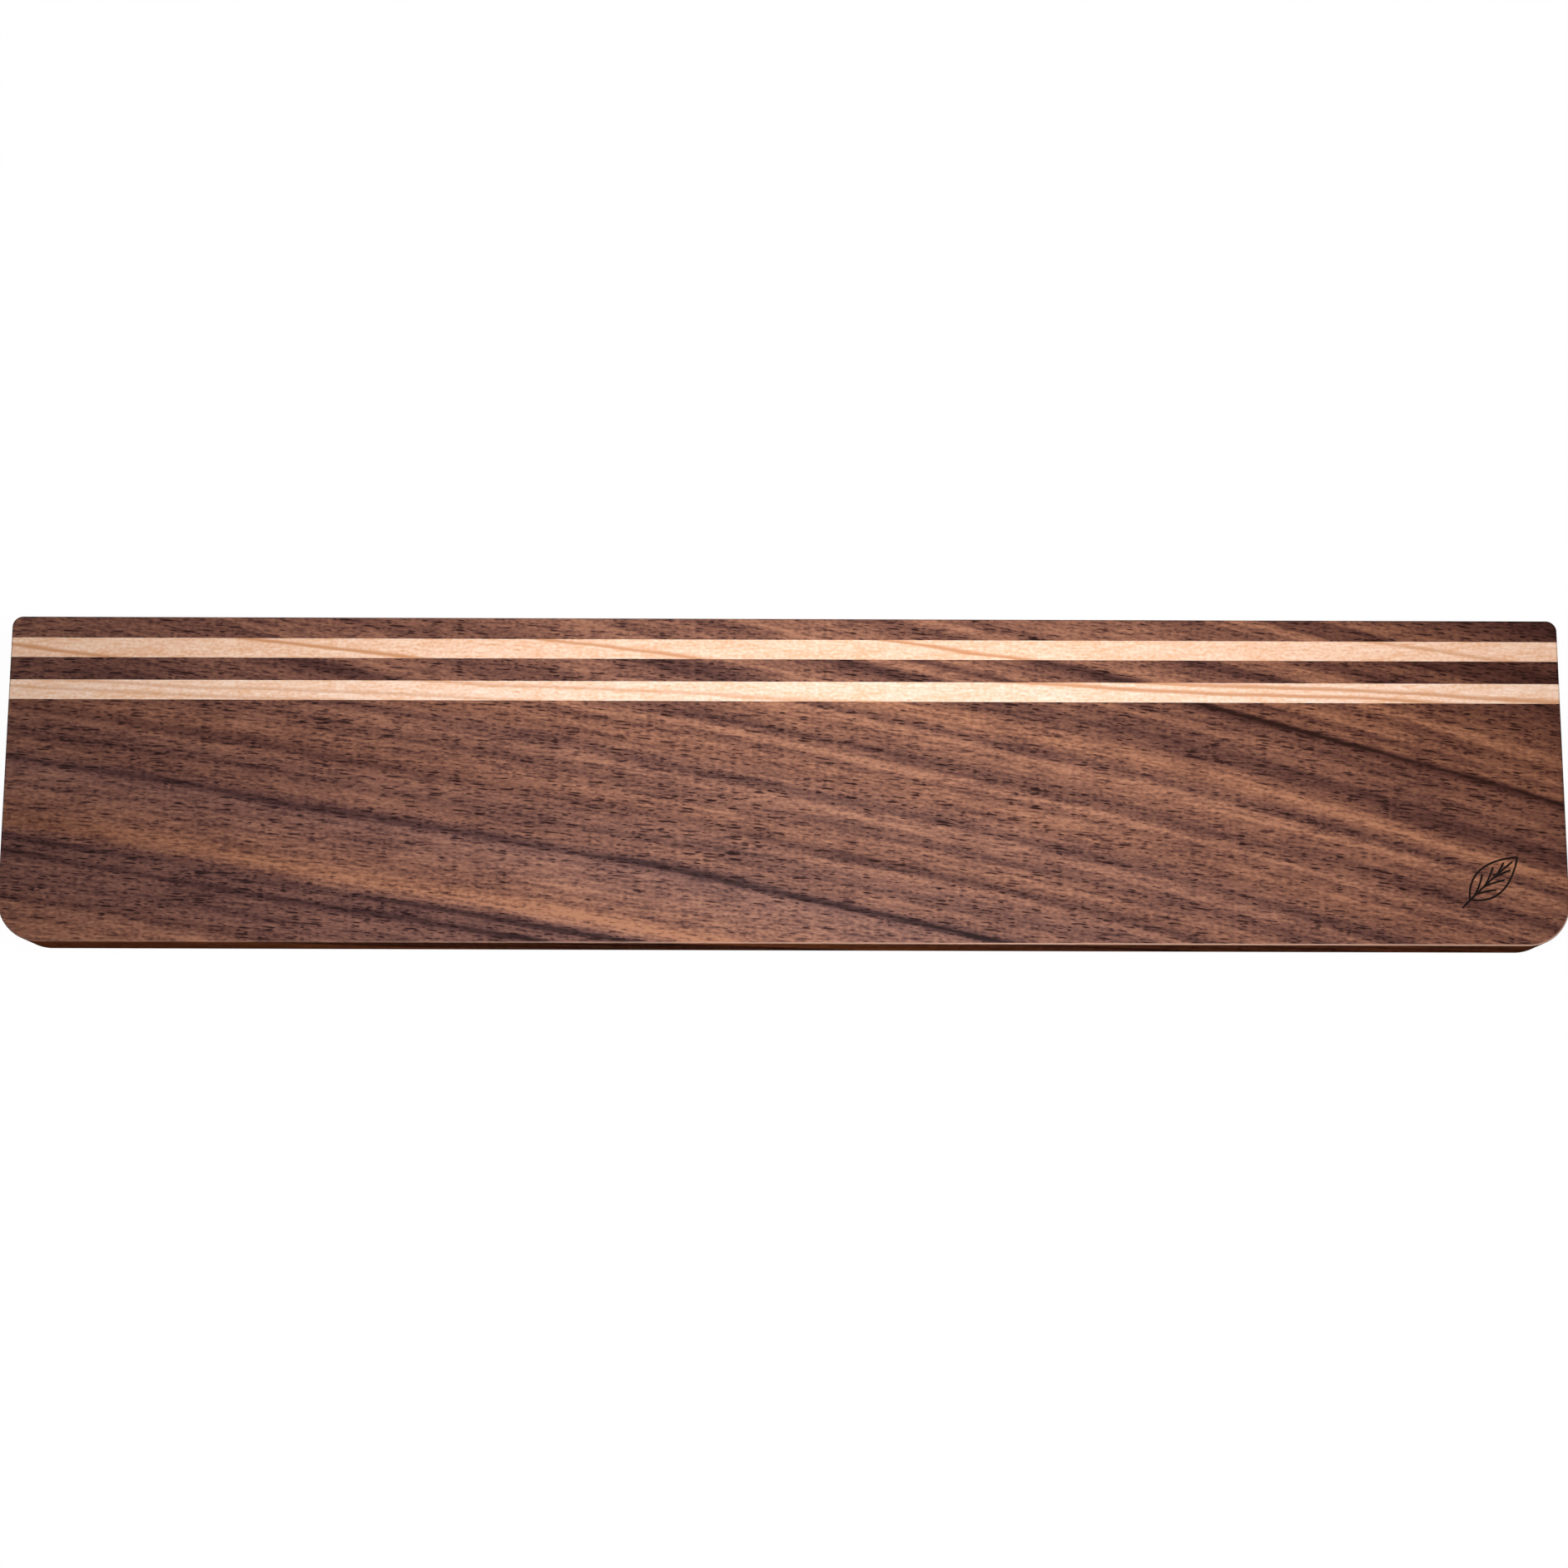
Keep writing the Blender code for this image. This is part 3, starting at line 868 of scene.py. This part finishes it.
def hard_maple(name, ground_colours, slant, growth_lines, centre_mm):
    """Oiled hard maple. It gives the eye a smooth peach ground with a silky shimmer, thin orange-brown
    growth lines at a shallow slant, and small flecks along the fibres."""
    material = bpy.data.materials.new(name)
    material.use_nodes = True
    tree = material.node_tree
    shader = tree.nodes["Principled BSDF"]
    shader.inputs["IOR"].default_value = OIL_IOR
    shader.inputs["Specular IOR Level"].default_value = MAPLE_SHINE
    coordinates = add_node(tree, "ShaderNodeTexCoord", {}, {})
    millimetres = add_node(
        tree,
        "ShaderNodeMapping",
        {},
        {
            "Vector": coordinates.outputs["Object"],
            "Scale": (MM_PER_METRE,) * 3,
            "Location": [-distance for distance in centre_mm],
        },
    )
    axes = add_node(tree, "ShaderNodeSeparateXYZ", {}, {0: millimetres})
    x, y, z = axes.outputs
    across = add_node(tree, "ShaderNodeMath", {"operation": "MULTIPLY_ADD"}, {0: x, 1: slant, 2: y})
    across = add_node(tree, "ShaderNodeMath", {"operation": "MULTIPLY_ADD"}, {0: z, 1: RING_DIP, 2: across})

    layers = {}
    for layer, length, width, detail in MAPLE_LAYERS:
        stretched = add_node(
            tree,
            "ShaderNodeMapping",
            {},
            {"Vector": millimetres, "Scale": (1 / length, 1 / width, 1 / width)},
        )
        layers[layer] = add_node(
            tree, "ShaderNodeTexNoise", {}, {"Vector": stretched, "Scale": 1.0, "Detail": detail}
        )
    line_place = add_node(
        tree,
        "ShaderNodeMath",
        {"operation": "MULTIPLY_ADD"},
        {0: layers["wander"], 1: MAPLE_WANDER_MM, 2: across},
    )
    position = add_node(
        tree,
        "ShaderNodeMapRange",
        {},
        {
            "Value": line_place,
            "From Min": MAPLE_WANDER_MM / 2 - MAPLE_REACH,
            "From Max": MAPLE_WANDER_MM / 2 + MAPLE_REACH,
        },
    )
    line = add_node(tree, "ShaderNodeValToRGB", {}, {0: position})
    stops = []
    for place, strength in growth_lines:
        for offset, share in MAPLE_LINE_PROFILE:
            spot = (place + offset * MAPLE_LINE_HALF_WIDTH + MAPLE_REACH) / (2 * MAPLE_REACH)
            stops.append((spot, (strength * share, strength * share, strength * share, 1.0)))
    set_stops(line, stops, "LINEAR")

    fleck_space = add_node(
        tree,
        "ShaderNodeMapping",
        {},
        {"Vector": millimetres, "Scale": (1 / FLECK_CELL[0], 1 / FLECK_CELL[1], 1 / FLECK_CELL[1])},
    )
    cells = add_node(
        tree,
        "ShaderNodeTexVoronoi",
        {"voronoi_dimensions": "3D", "feature": "F1"},
        {"Vector": fleck_space, "Scale": 1.0, "Randomness": 1.0},
    )
    chance = add_node(tree, "ShaderNodeSeparateColor", {}, {0: cells.outputs["Color"]})
    fleck_strength = add_node(
        tree,
        "ShaderNodeMapRange",
        {},
        {"Value": chance, "From Min": FLECK_CHANCE, "From Max": 1.0, "To Max": FLECK_STRENGTH},
    )
    fleck_shape = add_node(
        tree,
        "ShaderNodeMapRange",
        {"interpolation_type": "SMOOTHSTEP"},
        {
            "Value": cells.outputs["Distance"],
            "From Min": FLECK_FILL / 2,
            "From Max": FLECK_FILL,
            "To Min": 1.0,
            "To Max": 0.0,
        },
    )
    fleck = add_node(tree, "ShaderNodeMath", {"operation": "MULTIPLY"}, {0: fleck_shape, 1: fleck_strength})

    depth = MEAN_TONE - sum(share for _, share in MAPLE_SHARES) / 2
    for layer, share in MAPLE_SHARES:
        depth = add_node(
            tree, "ShaderNodeMath", {"operation": "MULTIPLY_ADD"}, {0: layers[layer], 1: share, 2: depth}
        )
    ground = add_node(tree, "ShaderNodeValToRGB", {}, {0: depth})
    set_stops(ground, [(0, linear(ground_colours[0])), (1, linear(ground_colours[1]))], "LINEAR")
    lined = add_node(
        tree, "ShaderNodeMix", {"data_type": "RGBA"}, {0: line, 6: ground, 7: linear(MAPLE_LINE)}
    )
    flecked = add_node(
        tree,
        "ShaderNodeMix",
        {"data_type": "RGBA"},
        {0: fleck, 6: lined.outputs[2], 7: linear(MAPLE_FLECK)},
    )
    tree.links.new(flecked.outputs[2], shader.inputs["Base Color"])
    roughness = add_node(
        tree,
        "ShaderNodeMath",
        {"operation": "MULTIPLY_ADD"},
        {0: layers["fibre"], 1: MAPLE_FIBRE_ROUGHNESS, 2: MAPLE_ROUGHNESS},
    )
    tree.links.new(roughness.outputs[0], shader.inputs["Roughness"])
    bump = add_node(
        tree,
        "ShaderNodeBump",
        {},
        {"Height": layers["fibre"], "Strength": MAPLE_RELIEF, "Distance": RELIEF_DEPTH},
    )
    tree.links.new(bump.outputs[0], shader.inputs["Normal"])
    return material


for stripe_name, ground_colours, slant, growth_lines in (
    ("maple_rear_stripe", REAR_STRIPE_GROUND, REAR_STRIPE_SLANT, REAR_STRIPE_LINES),
    ("maple_front_stripe", FRONT_STRIPE_GROUND, FRONT_STRIPE_SLANT, FRONT_STRIPE_LINES),
):
    stripe_low, stripe_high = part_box(stripe_name)
    stripe_middle = (stripe_low.y + stripe_high.y) / 2 * MM_PER_METRE
    stripe_centre = (0, stripe_middle, top_mm)
    timber = hard_maple(f"oiled_hard_{stripe_name}", ground_colours, slant, growth_lines, stripe_centre)
    stripe = strip_from_blank(stripe_name, timber)
    finish_shading(stripe)
    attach(stripe, "root")
    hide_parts(stripe_name)

for cutter in pocket_cutters + [blank]:
    bpy.data.objects.remove(cutter)


# ---------------------------------------------------------------------------------------------------------
# The feet: six black rubber discs, moulded, with a rounded tread edge and a shallow suction dish under each.
# They are stuck into the pockets and keep the rest from sliding on the desk.

FOOT_SIDES = 96
FOOT_TREAD_RADIUS = 0.0005
FOOT_TREAD_SEGMENTS = 6
FOOT_TOP_BREAK = 0.00015
FOOT_TOP_SEGMENTS = 2
DISH_RADIUS = 0.0030
DISH_DEPTH = 0.0004
DISH_SLOPE = 0.9
RUBBER_BLACK = "17181A"
RUBBER_DUST = "2C2D2F"
# The mould's fine spark texture is 0.1 mm, drawn at 0.25 mm so that it shows. A patch of dust is larger
RUBBER_TEXTURE_MM = 0.25
DUST_SCALE = 0.08
# The dust's noise, from the clean rubber to the dusty
DUST_RANGE = (0.45, 0.75)
RUBBER_IOR = 1.52
RUBBER_ROUGHNESS = 0.5
RUBBER_TEXTURE_ROUGHNESS = 0.3
RUBBER_RELIEF = 0.35

# Moulded rubber: matt black, with a fine even texture and a little pale dust in it
moulded_rubber = bpy.data.materials.new("moulded_black_rubber")
moulded_rubber.use_nodes = True
tree = moulded_rubber.node_tree
shader = tree.nodes["Principled BSDF"]
shader.inputs["IOR"].default_value = RUBBER_IOR
coordinates = add_node(tree, "ShaderNodeTexCoord", {}, {})
texture_space = add_node(
    tree,
    "ShaderNodeMapping",
    {},
    {"Vector": coordinates.outputs["Object"], "Scale": (MM_PER_METRE / RUBBER_TEXTURE_MM,) * 3},
)
texture = add_node(tree, "ShaderNodeTexNoise", {}, {"Vector": texture_space, "Scale": 1.0, "Detail": 3.0})
dust = add_node(
    tree, "ShaderNodeTexNoise", {}, {"Vector": texture_space, "Scale": DUST_SCALE, "Detail": 4.0}
)
dusty = add_node(tree, "ShaderNodeValToRGB", {}, {0: dust})
set_stops(
    dusty, [(DUST_RANGE[0], linear(RUBBER_BLACK)), (DUST_RANGE[1], linear(RUBBER_DUST))], "EASE"
)
tree.links.new(dusty.outputs[0], shader.inputs["Base Color"])
roughness = add_node(
    tree,
    "ShaderNodeMath",
    {"operation": "MULTIPLY_ADD"},
    {0: texture, 1: RUBBER_TEXTURE_ROUGHNESS, 2: RUBBER_ROUGHNESS},
)
tree.links.new(roughness.outputs[0], shader.inputs["Roughness"])
bump = add_node(
    tree, "ShaderNodeBump", {}, {"Height": texture, "Strength": RUBBER_RELIEF, "Distance": RELIEF_DEPTH}
)
tree.links.new(bump.outputs[0], shader.inputs["Normal"])

first_low, first_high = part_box(f"rubber_foot_{FOOT_NAMES[0]}")
first_middle = (first_low + first_high) / 2
foot_radius = (first_high.x - first_low.x) / 2
deselect_all()
bpy.ops.mesh.primitive_cylinder_add(
    vertices=FOOT_SIDES,
    radius=foot_radius,
    depth=first_high.z - first_low.z,
    location=first_middle,
)
pattern_foot = added("pattern_foot")
bpy.ops.object.mode_set(mode="EDIT")
for rim_height, rim_radius, rim_segments in (
    (first_low.z, FOOT_TREAD_RADIUS, FOOT_TREAD_SEGMENTS),
    (first_high.z, FOOT_TOP_BREAK, FOOT_TOP_SEGMENTS),
):
    select_edges(pattern_foot, is_rim_at(rim_height))
    bpy.ops.mesh.bevel(offset=rim_radius, segments=rim_segments, profile=ROUND_PROFILE, affect="EDGES")
bpy.ops.mesh.select_mode(type="FACE")
bpy.ops.mesh.select_all(action="DESELECT")
mesh = bmesh.from_edit_mesh(pattern_foot.data)
for face in mesh.faces:
    face.select_set(all(abs(vertex.co.z - first_low.z) < ON_PLANE for vertex in face.verts))
bmesh.update_edit_mesh(pattern_foot.data)
bpy.ops.mesh.inset(thickness=foot_radius - FOOT_TREAD_RADIUS - DISH_RADIUS)
bpy.ops.mesh.extrude_region_move(TRANSFORM_OT_translate={"value": (0, 0, DISH_DEPTH)})
bpy.ops.transform.resize(value=(DISH_SLOPE, DISH_SLOPE, 1), center_override=first_middle)
bpy.ops.object.mode_set(mode="OBJECT")
pattern_foot.data.materials.append(moulded_rubber)
finish_shading(pattern_foot)

for foot_name in FOOT_NAMES:
    low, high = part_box(f"rubber_foot_{foot_name}")
    foot = pattern_foot.copy()
    foot.data = pattern_foot.data.copy()
    foot.name = f"rubber_foot_{foot_name}_finished"
    foot.data.name = foot.name
    foot.data.transform(Matrix.Translation((low + high) / 2 - first_middle))
    bpy.context.scene.collection.objects.link(foot)
    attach(foot, "root")
    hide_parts(f"rubber_foot_{foot_name}")
bpy.data.objects.remove(pattern_foot)


# ---------------------------------------------------------------------------------------------------------
# The foot tapes: thin discs of double-sided acrylic foam, die-cut, which bond the feet to the pocket floors.
# Only their edges can be seen, deep in the gap round a foot.

FOAM_WHITE = "D9D7D0"
FOAM_SHADE = "B9B6AD"
FOAM_CELL_MM = 0.2
# How far from a cell's middle the foam is white again, in cells
FOAM_WHITE_FROM = 0.5
FOAM_ROUGHNESS = 0.75
FOAM_RELIEF = 0.5

# Acrylic foam: milky white and matt, with closed cells that pit its cut edge
foam_tape = bpy.data.materials.new("white_acrylic_foam")
foam_tape.use_nodes = True
tree = foam_tape.node_tree
shader = tree.nodes["Principled BSDF"]
shader.inputs["Roughness"].default_value = FOAM_ROUGHNESS
coordinates = add_node(tree, "ShaderNodeTexCoord", {}, {})
cell_space = add_node(
    tree,
    "ShaderNodeMapping",
    {},
    {"Vector": coordinates.outputs["Object"], "Scale": (MM_PER_METRE / FOAM_CELL_MM,) * 3},
)
foam_cells = add_node(tree, "ShaderNodeTexVoronoi", {}, {"Vector": cell_space, "Scale": 1.0})
foam = add_node(tree, "ShaderNodeValToRGB", {}, {0: foam_cells})
set_stops(foam, [(0.0, linear(FOAM_SHADE)), (FOAM_WHITE_FROM, linear(FOAM_WHITE))], "LINEAR")
tree.links.new(foam.outputs[0], shader.inputs["Base Color"])
bump = add_node(
    tree, "ShaderNodeBump", {}, {"Height": foam_cells, "Strength": FOAM_RELIEF, "Distance": RELIEF_DEPTH}
)
tree.links.new(bump.outputs[0], shader.inputs["Normal"])
for foot_name in FOOT_NAMES:
    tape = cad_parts[f"foot_tape_{foot_name}"]
    tape.data.materials.clear()
    tape.data.materials.append(foam_tape)


# ---------------------------------------------------------------------------------------------------------
# The studio: a white paper sweep that turns up into a wall all round, a softbox close above the rest, and
# weak fills in front of it, behind it and at its sides. The paper lights up by itself and stays even, except
# for a painted shadow where the rest covers it.

SWEEP_FLOOR_RADIUS = 1.3
SWEEP_COVE = ((1.8, 0.06), (2.2, 0.25), (2.5, 0.6), (2.6, 1.1), (2.6, 2.6))
SWEEP_SIDES = 96
PAPER_GREY = "3C3C3C"
PAPER_GLOW = 0.975
# Painted shadow: the paper's glow is dim where the rest covers it. Its glow there, and how far in from the
# outline that is reached
SHADOW_GLOW = 0.12
SHADOW_FADE = 0.004
# The paper's tooth is a fibre of 1 mm, drawn at 6 mm so that it shows
PAPER_TOOTH_MM = 6.0
PAPER_TOOTH_DEPTH = 0.0005
PAPER_RELIEF = 0.05
PAPER_ROUGHNESS = 0.95
ROOM_LIGHT = 0.10

paper = bpy.data.materials.new("white_studio_paper")
paper.use_nodes = True
tree = paper.node_tree
shader = tree.nodes["Principled BSDF"]
shader.inputs["Base Color"].default_value = linear(PAPER_GREY)
shader.inputs["Roughness"].default_value = PAPER_ROUGHNESS
shader.inputs["Specular IOR Level"].default_value = 0.0
shader.inputs["Emission Color"].default_value = (1, 1, 1, 1)
coordinates = add_node(tree, "ShaderNodeTexCoord", {}, {})

# How far the paper is from a rectangle in the rest's middle, from whose corners the round corners are struck.
# Its height doesn't count
blank_middle = (wood_low + wood_high) / 2
straight_half = (wood_high - wood_low) / 2 - Vector((FRONT_CORNER_RADIUS, FRONT_CORNER_RADIUS, 0))
straight_half.z = SWEEP_FLOOR_RADIUS
from_middle = add_node(
    tree,
    "ShaderNodeVectorMath",
    {"operation": "SUBTRACT"},
    {0: coordinates.outputs["Object"], 1: blank_middle},
)
from_middle = add_node(tree, "ShaderNodeVectorMath", {"operation": "ABSOLUTE"}, {0: from_middle})
beyond = add_node(
    tree, "ShaderNodeVectorMath", {"operation": "SUBTRACT"}, {0: from_middle, 1: straight_half}
)
beyond = add_node(tree, "ShaderNodeVectorMath", {"operation": "MAXIMUM"}, {0: beyond, 1: (0, 0, 0)})
corner_reach = add_node(tree, "ShaderNodeVectorMath", {"operation": "LENGTH"}, {0: beyond})
# Painted shadow: the paper's glow drops under the rest, fading in from its outline
shadowed_glow = add_node(
    tree,
    "ShaderNodeMapRange",
    {},
    {
        "Value": corner_reach.outputs["Value"],
        "From Min": FRONT_CORNER_RADIUS - SHADOW_FADE,
        "From Max": FRONT_CORNER_RADIUS,
        "To Min": SHADOW_GLOW,
        "To Max": PAPER_GLOW,
    },
)
tree.links.new(shadowed_glow.outputs[0], shader.inputs["Emission Strength"])
tooth_space = add_node(
    tree,
    "ShaderNodeMapping",
    {},
    {"Vector": coordinates.outputs["Object"], "Scale": (MM_PER_METRE / PAPER_TOOTH_MM,) * 3},
)
tooth = add_node(tree, "ShaderNodeTexNoise", {}, {"Vector": tooth_space, "Scale": 1.0})
bump = add_node(
    tree, "ShaderNodeBump", {}, {"Height": tooth, "Strength": PAPER_RELIEF, "Distance": PAPER_TOOTH_DEPTH}
)
tree.links.new(bump.outputs[0], shader.inputs["Normal"])

deselect_all()
bpy.ops.mesh.primitive_circle_add(vertices=SWEEP_SIDES, radius=SWEEP_FLOOR_RADIUS, fill_type="NGON")
sweep = added("studio_sweep")
bpy.ops.object.mode_set(mode="EDIT")
bpy.ops.mesh.select_mode(type="EDGE")
bpy.ops.mesh.select_all(action="SELECT")
reached_radius, reached_height = SWEEP_FLOOR_RADIUS, 0.0
for radius, height in SWEEP_COVE:
    rise = (0, 0, height - reached_height)
    bpy.ops.mesh.extrude_edges_move(TRANSFORM_OT_translate={"value": rise})
    spread = radius / reached_radius
    bpy.ops.transform.resize(value=(spread, spread, 1), center_override=(0, 0, 0))
    reached_radius, reached_height = radius, height
bpy.ops.object.mode_set(mode="OBJECT")
bpy.ops.object.shade_smooth_by_angle(angle=SMOOTH_ANGLE)
sweep.data.materials.append(paper)
sweep.visible_diffuse = False
sweep.visible_glossy = False
sweep.visible_shadow = False

world = bpy.data.worlds.new("studio_room")
bpy.context.scene.world = world
world.use_nodes = True
world.node_tree.nodes["Background"].inputs["Strength"].default_value = ROOM_LIGHT

# Each lamp: where it stands, where it points, its width and height in metres, its watts, and whether the
# oiled faces mirror it
LAMPS = (
    ("key_softbox", (0.028, -0.012, 0.31), (0.028, -0.012, 0.018), (0.26, 0.20), 1.19, False),
    ("front_fill", (0.24, -0.85, 0.60), (0.0, 0.0, 0.01), (0.4, 0.25), 3.5, True),
    ("rear_fill", (-0.3, 1.1, 0.45), (0.0, 0.0, 0.01), (0.6, 0.4), 2.4, True),
    ("left_fill", (-1.2, -0.2, 0.35), (0.0, 0.0, 0.01), (0.5, 0.4), 1.5, True),
    ("right_fill", (1.2, 0.1, 0.35), (0.0, 0.0, 0.01), (0.5, 0.4), 1.5, True),
)
for lamp_name, place, aim, size, watts, is_mirrored in LAMPS:
    bpy.ops.object.light_add(type="AREA", location=place)
    lamp = bpy.context.object
    lamp.name = lamp_name
    lamp.data.shape = "RECTANGLE"
    lamp.data.size, lamp.data.size_y = size
    lamp.data.energy = watts
    lamp.rotation_euler = (Vector(aim) - Vector(place)).to_track_quat("-Z", "Y").to_euler()
    lamp.visible_camera = False
    lamp.visible_glossy = is_mirrored

bpy.context.scene.view_settings.view_transform = "Standard"
